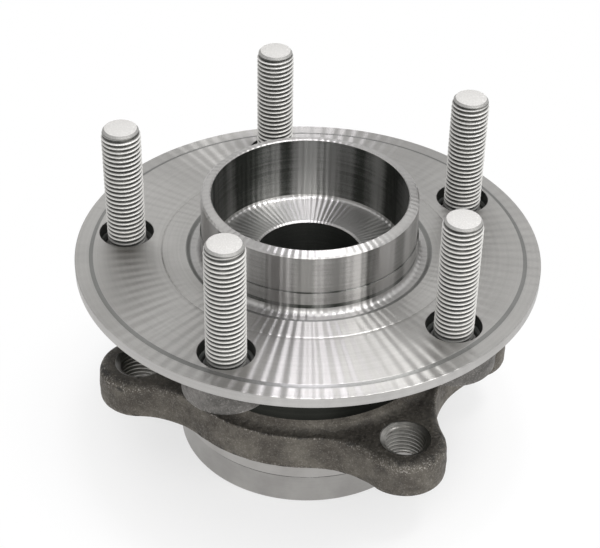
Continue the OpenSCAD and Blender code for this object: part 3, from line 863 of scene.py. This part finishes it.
reach = math.hypot(ear_x, ear_y)
along, aside = meeting(reach, web_r + blend_r, ear_r + blend_r)
ear_way = Vector((ear_x, ear_y)) / reach
blend_at = along * ear_way + aside * Vector((-ear_way.y, ear_way.x))
waist_at_x = (reach**2 - (ear_r - waist_x) ** 2) / (2 * (ear_x + ear_r - waist_x))
waist_r = waist_at_x - waist_x


def way(start, end):
    return math.atan2(end[1] - start[1], end[0] - start[0])


def quarter_outline():
    """One quarter of the web's edge: (point, outward normal), from the waist up."""
    ear = (ear_x, ear_y)
    arcs = [
        ((waist_at_x, 0), waist_r, math.pi, way((waist_at_x, 0), ear), -1, 16),
        (ear, ear_r, way(ear, (waist_at_x, 0)), way(ear, blend_at), 1, 44),
        (blend_at, blend_r, way(blend_at, ear), way(blend_at, (0, 0)), -1, 22),
        ((0, 0), web_r, way((0, 0), blend_at), math.pi / 2, 1, 12),
    ]
    for centre, r, start, end, side, count in arcs:
        for i in range(count):
            a = start + (end - start) * i / count
            out = Vector((math.cos(a), math.sin(a)))
            yield Vector(centre) + r * out, side * out


quarter = list(quarter_outline())
top_point = (Vector((0, web_r)), Vector((0, 1)))
mirrored = [(Vector((-p.x, p.y)), Vector((-n.x, n.y))) for p, n in quarter[:0:-1]]
half = [*quarter, top_point, *mirrored]
outline = half + [(-p, -n) for p, n in half]


def edge_round(point):
    """Rounding of the web's top edge: full on the ears, and fine where the web is narrow."""
    return min(top_edge_r, 0.6 + 0.3 * max(0, point.length - web_r))


def web_loop(bm, height_of, inset_of):
    made = []
    for p, n in outline:
        at = p - n * inset_of(p)
        uneven = 0.14 * noise.noise(Vector((at.x, at.y, height_of(p))) * 0.3)
        made.append(bm.verts.new((at.x + n.x * uneven, at.y + n.y * uneven, height_of(p))))
    return made


def draft(z):
    """How far the die's draft draws the edge in, from the faint line where its halves met."""
    height = z - parting
    return 0.07 * height if height > 0 else -0.02 * height


ring = bmesh.new()
WEB, NECK_SHADE, SPIGOT, SEAT, TAPPED, LINE_SHADE, TAIL = range(7)
walls = []
for i in range(6):
    a = math.radians(18 * i)
    walls.append(web_loop(
        ring,
        lambda p: ear_top - edge_round(p) * (1 - math.cos(a)),
        lambda p: edge_round(p) * (1 - math.sin(a)) + draft(ear_top - edge_round(p)),
    ))
for drop in (-4.2, -5.4, -6.6, -7.3, -7.8, -8.3, -9, -10.2):
    walls.append(web_loop(ring, lambda p: ear_top + drop, lambda p: draft(ear_top + drop)))
for share in (0, 0.3, 0.65, 1):
    a = math.radians(90 * share)
    walls.append(web_loop(
        ring,
        lambda p: knuckle_face + bottom_edge_r * (1 - math.sin(a)),
        lambda p: draft(knuckle_face) + bottom_edge_r * (1 - math.cos(a)),
    ))
for first, second in zip(walls, walls[1:]):
    skin(ring, first, second, WEB)


def ear_shape(phase, z):
    depth = (ear_root_r - ear_hole_r) * (1 - groove_depth(phase))
    top_fade = min(1, max(0, (ear_top - ear_thread_end - z) / 0.6))
    bottom_fade = min(1, max(0, (z - knuckle_face - ear_thread_end) / 0.6))
    fade = min(top_fade, bottom_fade)
    return ear_hole_r + depth * fade + 0.3 * (1 - fade)


ear_spots = [Vector((sx * ear_x, sy * ear_y)) for sx in (1, -1) for sy in (1, -1)]
mouth_loops, face_loops = [], []
for spot in ear_spots:
    hole = bmesh.new()
    thread_low, thread_high = knuckle_face + ear_thread_end, ear_top - ear_thread_end
    low, high = thread(hole, ear_shape, thread_low, thread_high, ear_columns, thread_steps, TAPPED)
    top = turned(hole, ear_columns, (TAPPED, [
        (ear_mouth_r + 0.25, ear_top),
        (ear_mouth_r - 0.1, ear_top - 0.15, 0.1),
        (ear_start_r, thread_high + 0.02),
    ]))
    bottom = turned(hole, ear_columns, (WEB, [
        (ear_start_r, thread_low - 0.02),
        (ear_start_r, knuckle_face + 0.4),
        (ear_exit_r, knuckle_face),
    ]))
    skin(hole, top[-1], high, TAPPED)
    skin(hole, low, bottom[0], TAPPED)
    bmesh.ops.translate(hole, vec=(spot.x, spot.y, 0), verts=hole.verts)
    hole.verts.index_update()
    ends = [[v.index for v in top[0]], [v.index for v in bottom[-1]]]
    carried = [ring.verts.new(v.co) for v in hole.verts]
    for face in hole.faces:
        ring.faces.new([carried[v.index] for v in face.verts]).material_index = face.material_index
    hole.free()
    mouth_loops.append([carried[i] for i in ends[0]])
    face_loops.append([carried[i] for i in ends[1]])


def web_top(x, y):
    """The ears' top face: a fillet up to the neck and the die's unevenness."""
    d = math.hypot(x, y) - neck_r
    rise = 0
    if d < neck_fillet:
        rise = neck_fillet - math.sqrt(max(0, neck_fillet**2 - (neck_fillet - d) ** 2))
    from_hole = min((Vector((x, y)) - s).length - ear_mouth_r for s in ear_spots)
    fade = min(1, max(0, d / neck_fillet), from_hole / 2)
    uneven = 0.16 * noise.noise(Vector((x, y, 1)) * 0.28) + 0.06 * noise.noise(Vector((x, y, 5)) * 0.9)
    return ear_top + rise + uneven * max(0, fade)


def clear_of_ears(x, y, gap):
    return all((Vector((x, y)) - s).length > gap for s in ear_spots)


def inside_web(x, y, inset):
    """True if a point lies inside the web's edge, moved inwards by an inset."""
    p = Vector((abs(x), abs(y)))
    if (p - blend_at).length < blend_r + inset or math.hypot(p.x - waist_at_x, p.y) < waist_r + inset:
        return False
    if p.length < web_r - inset or (p - Vector((ear_x, ear_y))).length < ear_r - inset:
        return True
    angle = way((0, 0), p)
    return p.length < reach and 0 <= angle < way((0, 0), blend_at)


body = turned(ring, round_count, (NECK_SHADE, [
    (seal_seat_r, seal_seat_end),
    (seal_seat_r, ring_top - 0.5),
    (seal_seat_r + 0.7, ring_top, 0.3),
    (neck_r - 0.8, ring_top, 0.2),
    (neck_r, ring_top - 0.8, 0.3),
    (neck_r, ear_top + neck_fillet),
]))
tail = turned(ring, round_count, (SPIGOT, [
    (spigot_r - 0.45, knuckle_face),
    (spigot_r - 0.45, knuckle_face - 0.9, 0.3),
    (spigot_r, knuckle_face - 1.4, 0.3),
    (spigot_r, spigot_end + 0.15),
]), (LINE_SHADE, [
    (spigot_r, spigot_end + 0.15),
    (tail_r - 0.3, spigot_end - 0.15),
    (tail_r - 0.3, spigot_end - 0.4),
    (tail_r, spigot_end - 0.6),
]), (TAIL, [
    (tail_r, spigot_end - 0.6),
    (tail_r, ring_end, 1),
    (seal_seat_r + 0.8, ring_end),
    (seal_seat_r, ring_end + 0.8),
    (seal_seat_r, inboard_seat),
]))
inner = turned(ring, round_count, (SEAT, [
    (seal_seat_r, inboard_seat),
    (inner_wall_r, inboard_seat),
    (inner_wall_r, rows_middle - inner_wall_gap),
    *ball_groove(outer_groove_r, rows_middle - outer_groove_gap, -18, 68),
    (land_r, rows_middle - land_gap),
    (land_r, rows_middle + land_gap),
    *ball_groove(outer_groove_r, rows_middle + outer_groove_gap, -66, 20),
    (inner_wall_r, rows_middle + inner_wall_gap),
    (inner_wall_r, seal_seat_end),
    (seal_seat_r, seal_seat_end),
]))
skin(ring, tail[-1], inner[0], SEAT)
skin(ring, inner[-1], body[0], SEAT)

web_spacing = 1.15
scatter = []
for row in range(-48, 49):
    for column in range(-52, 53):
        x = (column + row % 2 / 2) * web_spacing + random.uniform(-0.15, 0.15)
        y = row * web_spacing * 0.866 + random.uniform(-0.15, 0.15)
        on_web = math.hypot(x, y) > neck_r + neck_fillet and inside_web(x, y, top_edge_r + 0.4)
        if on_web and clear_of_ears(x, y, ear_mouth_r + 0.8):
            scatter.append((x, y))
for gap in (0.35, 0.8, 1.4, 2.1, 2.8, 3.4):
    for x, y in circle(neck_r + gap, 300):
        if inside_web(x, y, 0.8) and clear_of_ears(x, y, ear_mouth_r + 0.6):
            scatter.append((x, y))
flat_fill(
    ring,
    [body[-1], walls[0], *mouth_loops],
    lambda x, y: math.hypot(x, y) > neck_r - 0.02 and clear_of_ears(x, y, ear_mouth_r + 0.2),
    WEB,
    scatter,
    web_top,
)
flat_fill(
    ring,
    [tail[0], walls[-1], *face_loops],
    lambda x, y: math.hypot(x, y) > spigot_r - 0.47 and clear_of_ears(x, y, ear_exit_r - 0.02),
    SPIGOT,
)
ring_finishes = [
    forged_skin("forged web", (0.057, 0.049, 0.04), (0.139, 0.126, 0.105), (0.36, 0.34, 0.31), top_shade=0.6),
    # The neck lies under the flange, and its turned steel is painted near black: painted shade.
    turned_steel("turned neck", (0.018, 0.019, 0.017), (0.04, 0.041, 0.036), 0.42, 5.0e-5, grooves=0.6),
    ground_steel("ground spigot", (0.37, 0.358, 0.345), (0.485, 0.472, 0.457), 0.34),
    raceway,
    turned_steel("tapped thread", (0.22, 0.215, 0.2), (0.42, 0.41, 0.39), 0.34, 2.0e-5, grooves=0.2),
    shaded_step_paint,
    ground_steel("turned tail", (0.31, 0.30, 0.29), (0.43, 0.42, 0.405), 0.38),
]
finish_piece("forged_ring", ring, "knuckle_side", ["outer_ring"], ring_finishes)

# The inboard raceway is a separate ring of bearing steel, hardened and ground. It
# is pressed on the hub and held there by the hub's rolled-over end.
press_shoulder_end = -58.85
press_ring = bmesh.new()
wall = turned(press_ring, stem_count, (0, [
    (ring_seat_r, ring_seat_top - 0.9),
    (ring_seat_r + 0.9, ring_seat_top, 0.2),
    (high_shoulder_r, ring_seat_top, 0.3),
    (high_shoulder_r, rows_middle - high_shoulder_gap),
    *ball_groove(inner_groove_r, rows_middle - inner_groove_gap, 160, 248),
    (low_shoulder_r, press_shoulder_end),
    (low_shoulder_r, collar_face + 0.5, 0.15),
    (low_shoulder_r - 0.5, collar_face, 0.15),
    (ring_seat_r + 0.1, collar_face),
    (ring_seat_r, collar_face + 0.1),
]))
skin(press_ring, wall[-1], wall[0])
finish_piece("ground_inner_ring", press_ring, "wheel_side", ["inner_ring"], [raceway])

# Thirteen balls run in grease in each row. They are bearing steel, hardened, ground
# and lapped until they shine.
def dress(finish, *words):
    """Gives a finish to the carried-over pieces that have one of the words in their names."""
    for name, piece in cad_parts.items():
        if any(word in name for word in words):
            piece.data.materials.clear()
            piece.data.materials.append(finish)


dress(ground_steel("lapped ball", (0.5, 0.5, 0.5), (0.62, 0.62, 0.63), 0.08), "ball")


# Each row has a one-piece snap cage, moulded in glass-filled nylon. Its thirteen
# open pockets click over the balls and keep them apart.
def moulded_nylon():
    made, tree, shader = new_finish("moulded nylon", Roughness=0.5)
    fibres = place(tree, cloud_group, Patch_scale=250.0, Grain_scale=2200.0).outputs
    tone = blend(tree, ramp(tree, fibres["Patches"], 0.3, 0.7), (0.07, 0.085, 0.06), (0.12, 0.135, 0.10))
    complete(tree, shader, tone, None, fibres["Grain"], 3.0e-5)
    return made


dress(moulded_nylon(), "cage")


# Both ends are sealed: a pressed steel case with moulded rubber lips sits in the
# outer ring, and inboard the lips run on a stainless slinger that carries the
# magnet ring for the speed sensor.
def pressed_sheet():
    made, tree, shader = new_finish("pressed sheet", Metallic=1.0)
    rings = place(tree, lathe_group, Ring_scale=3.0).outputs["Rings"]
    stains = place(tree, cloud_group, Patch_scale=120.0).outputs
    tone = blend(tree, ramp(tree, stains["Patches"], 0.3, 0.7), (0.33, 0.32, 0.3), (0.46, 0.45, 0.43))
    complete(tree, shader, tone, ramp(tree, rings, 0.3, 0.7, 0.3, 0.42), rings, 4.0e-6)
    return made


def moulded_rubber(name, dark, light):
    made, tree, shader = new_finish(name)
    bloom = place(tree, cloud_group, Patch_scale=140.0, Grain_scale=3000.0).outputs
    tone = blend(tree, ramp(tree, bloom["Patches"], 0.35, 0.7), dark, light)
    complete(tree, shader, tone, ramp(tree, bloom["Patches"], 0.3, 0.7, 0.42, 0.6), bloom["Grain"], 1.5e-5)
    return made


dress(pressed_sheet(), "seal_case", "slinger")
dress(moulded_rubber("seal rubber", (0.012, 0.012, 0.012), (0.03, 0.03, 0.03)), "seal_lip")
dress(moulded_rubber("magnet rubber", (0.02, 0.019, 0.018), (0.045, 0.043, 0.04)), "encoder_ring")

# The unit stands on a white table in white light from all round, under two overhead
# lamps, with a softbox at its side and one in front. Grey cards left, right, behind
# and overhead are seen only in the bright metal, which shades against them.
camera = bpy.data.cameras.new("camera")
camera.sensor_width = 36
camera.lens = 96.47
camera.shift_x = -0.1
camera.shift_y = 0.0558
camera.clip_start = 0.01
viewer = bpy.data.objects.new("camera", camera)
bpy.context.collection.objects.link(viewer)
right = Vector((0.93038, 0.36467, 0.03733))
up = Vector((-0.24999, 0.55670, 0.79220))
back = right.cross(up).normalized()
camera_at = Vector((152.905, -376.562, 288.81)) * mm
viewer.matrix_world = Matrix.Translation(camera_at) @ Matrix((right, up, back)).transposed().to_4x4()
bpy.context.scene.camera = viewer


def lamp(name, place, aim, size, power, colour=(1.0, 1.0, 1.0)):
    """A round lamp turned to what it is aimed at."""
    data = bpy.data.lights.new(name, "AREA")
    data.shape = "DISK"
    data.size = size
    data.energy = power
    data.color = colour
    made = bpy.data.objects.new(name, data)
    bpy.context.collection.objects.link(made)
    made.location = place
    made.rotation_euler = (Vector(aim) - Vector(place)).to_track_quat("-Z", "Y").to_euler()


def plain_sheet(name, corners, material):
    mesh = bpy.data.meshes.new(name)
    mesh.from_pydata(corners, [], [tuple(range(len(corners)))])
    mesh.materials.append(material)
    made = bpy.data.objects.new(name, mesh)
    bpy.context.collection.objects.link(made)
    return made


def seen_in_picture(tree):
    """1 for rays from the camera, off gloss and through glass, and 0 for the rest."""
    rays = add(tree, "LightPath").outputs
    reflected = calc(tree, "MAXIMUM", rays["Is Glossy Ray"], rays["Is Transmission Ray"])
    return calc(tree, "MAXIMUM", rays["Is Camera Ray"], reflected)


table_top, tree, table_shader = new_finish("white table", Base_Color=(0.86, 0.86, 0.86, 1), Roughness=0.9)
_, reach_out = from_axis(tree, add(tree, "TexCoord").outputs["Object"])
glow_share = calc(tree, "MULTIPLY", seen_in_picture(tree), ramp(tree, reach_out, 0.04, 0.115, 0.6, 1.0))
glow = add(tree, "Emission", {"Strength": 1.0})
table_mix = add(tree, "MixShader", {0: glow_share, 1: table_shader.outputs[0], 2: glow.outputs[0]})
tree.links.new(table_mix.outputs[0], tree.nodes["Material Output"].inputs["Surface"])
floor_z = ring_end * mm
table_half = 3
table_corners = [(x * table_half, y * table_half, floor_z) for x, y in ((-1, -1), (1, -1), (1, 1), (-1, 1))]
plain_sheet("table", table_corners, table_top)

world = bpy.data.worlds.new("studio")
bpy.context.scene.world = world
world.use_nodes = True
tree = world.node_tree
tree.nodes["Background"].inputs["Color"].default_value = (1, 1, 1, 1)
white_light = calc(tree, "MULTIPLY_ADD", seen_in_picture(tree), 0.3, 0.7)
tree.links.new(white_light, tree.nodes["Background"].inputs["Strength"])

lamp("overhead lamp", (0.0, 0.05, 0.95), (0, 0, 0), 0.2, 2.6, (0.95, 0.93, 1.0))
lamp("right overhead lamp", (0.29, 0.11, 0.9), (0, 0, 0), 0.3, 2.9)
lamp("side softbox", (0.9, -0.2, 0.5), (0, 0, -0.03), 0.5, 2.5)
lamp("front softbox", (0.3, -0.75, 0.6), (0, 0, 0), 0.35, 2.2)


def grey_card(name, corners):
    """A grey card that only the bright metal shows."""
    card = plain_sheet(name, corners, card_grey)
    card.visible_camera = card.visible_diffuse = card.visible_shadow = False


card_grey, _, _ = new_finish("grey card", Base_Color=(0.42, 0.42, 0.42, 1))
standing = {
    "left card": ((-1.0, -0.3), (-0.85, 0.7), 0.5),
    "right card": ((1.0, -0.3), (0.75, 0.8), 0.35),
    "back card": ((-0.75, 0.85), (0.45, 1.0), 0.4),
}
for name, (start, end, height) in standing.items():
    grey_card(name, [(*start, floor_z), (*end, floor_z), (*end, height), (*start, height)])
grey_card("ceiling card", [(0.75 * x, 0.75 * y, 1.1) for x, y in circle(1, 48)])

bpy.context.scene.view_settings.view_transform = "Standard"
bpy.context.view_layer.update()
